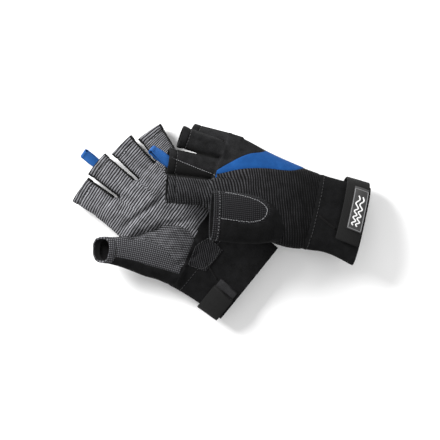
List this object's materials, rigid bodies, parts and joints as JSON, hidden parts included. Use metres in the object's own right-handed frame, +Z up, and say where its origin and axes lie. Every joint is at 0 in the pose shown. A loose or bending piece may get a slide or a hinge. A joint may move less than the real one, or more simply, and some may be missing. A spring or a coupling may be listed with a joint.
{
  "type": "sailing gloves",
  "caption": "Pair of fingerless sailing gloves with ribbed grip palms, webbing pull loops and strap closures at the wrist.",
  "frame": {"origin": "centre of the pair in plan, on the surface that it lies on", "axes": "+X along the longest way across the pair, from the left fingertips to the right cuff; +Z up"},
  "size_m": [0.2863, 0.1947, 0.0786],
  "materials": {
    "grip_fabric": "ribbed grip fabric, dark grey",
    "knit_grip": "square-knit grip fabric, grey",
    "stretch_fabric": "matt black stretch fabric",
    "binding_tape": "black woven binding",
    "blue_fabric": "smooth bright blue stretch fabric",
    "blue_webbing": "bright blue woven webbing",
    "strap_webbing": "black webbing",
    "hook_tape": "nylon hooks",
    "loop_tape": "fuzzy nylon loops",
    "label_rubber": "moulded grey rubber"
  },
  "bodies": {
    "left_glove": {"left_back_panel": "stretch_fabric", "left_cuff_band": "stretch_fabric", "left_cuff_binding": "binding_tape", "left_heel_patch": "grip_fabric", "left_loop_pad": "loop_tape", "left_palm_panel": "grip_fabric", "left_side_panel": "blue_fabric", "left_strap_base": "strap_webbing", "left_strap_label": "label_rubber", "left_vent_piping": "binding_tape"},
    "left_fingers": {"left_index_sleeve": "grip_fabric", "left_index_hem": "binding_tape", "left_middle_sleeve": "grip_fabric", "left_middle_hem": "binding_tape", "left_ring_sleeve": "grip_fabric", "left_ring_hem": "binding_tape", "left_little_sleeve": "grip_fabric", "left_little_hem": "binding_tape"},
    "left_thumb": {"left_thumb_sleeve": "stretch_fabric", "left_thumb_hem": "binding_tape", "left_thumb_grip": "knit_grip"},
    "left_closure": {"left_strap_tab": "strap_webbing", "left_hook_pad": "hook_tape"},
    "left_loop": {"left_pull_loop": "blue_webbing"},
    "right_glove": {"right_back_panel": "stretch_fabric", "right_cuff_band": "stretch_fabric", "right_cuff_binding": "binding_tape", "right_heel_patch": "grip_fabric", "right_loop_pad": "loop_tape", "right_palm_panel": "grip_fabric", "right_side_panel": "blue_fabric", "right_strap_base": "strap_webbing", "right_vent_piping": "binding_tape"},
    "right_fingers": {"right_index_sleeve": "grip_fabric", "right_index_hem": "binding_tape", "right_middle_sleeve": "grip_fabric", "right_middle_hem": "binding_tape", "right_ring_sleeve": "grip_fabric", "right_ring_hem": "binding_tape", "right_little_sleeve": "grip_fabric", "right_little_hem": "binding_tape"},
    "right_thumb": {"right_thumb_sleeve": "stretch_fabric", "right_thumb_hem": "binding_tape", "right_thumb_grip": "knit_grip"},
    "right_closure": {"right_strap_tab": "strap_webbing", "right_hook_pad": "hook_tape", "right_strap_label": "label_rubber"},
    "right_loop": {"right_pull_loop": "blue_webbing"}
  },
  "joints": [
    {"name": "right_glove_lift", "type": "slide", "parent": "left_glove", "child": "right_glove", "axis": [0, 0, 1], "range_m": [0, 0.12]},
    {"name": "left_fingers_flex", "type": "hinge", "parent": "left_glove", "child": "left_fingers", "pos_m": [-0.08783, 0.03086, 0.0232], "axis": [0.7416, 0.6709, 0], "range_deg": [0, 45]},
    {"name": "right_fingers_flex", "type": "hinge", "parent": "right_glove", "child": "right_fingers", "pos_m": [-0.00467, 0.05164, 0.04754], "axis": [0.3137, 0.9202, -0.234], "range_deg": [0, 25]},
    {"name": "left_thumb_spread", "type": "hinge", "parent": "left_glove", "child": "left_thumb", "pos_m": [-0.04982, -0.06554, 0.0132], "axis": [0, 0, 1], "range_deg": [0, 30]},
    {"name": "right_thumb_spread", "type": "hinge", "parent": "right_glove", "child": "right_thumb", "pos_m": [0.07522, -0.00963, 0.0498], "axis": [0.2319, 0.9469, -0.2228], "range_deg": [0, 25]},
    {"name": "left_closure_hinge", "type": "hinge", "parent": "left_glove", "child": "left_closure", "pos_m": [-0.01024, -0.08578, 0.00725], "axis": [0.7771, -0.6293, 0], "range_deg": [0, 100]},
    {"name": "right_closure_hinge", "type": "hinge", "parent": "right_glove", "child": "right_closure", "pos_m": [0.13091, 0.03331, 0.02236], "axis": [-0.9538, 0.2663, 0.1392], "range_deg": [0, 90]},
    {"name": "left_loop_flap", "type": "hinge", "parent": "left_fingers", "child": "left_loop", "pos_m": [-0.12072, 0.05428, 0.0082], "axis": [0.6293, 0.7771, 0], "range_deg": [0, 50]},
    {"name": "right_loop_flap", "type": "hinge", "parent": "right_fingers", "child": "right_loop", "pos_m": [-0.05303, 0.05726, 0.05027], "axis": [0.5723, 0.7782, -0.2587], "range_deg": [0, 50]}
  ]
}
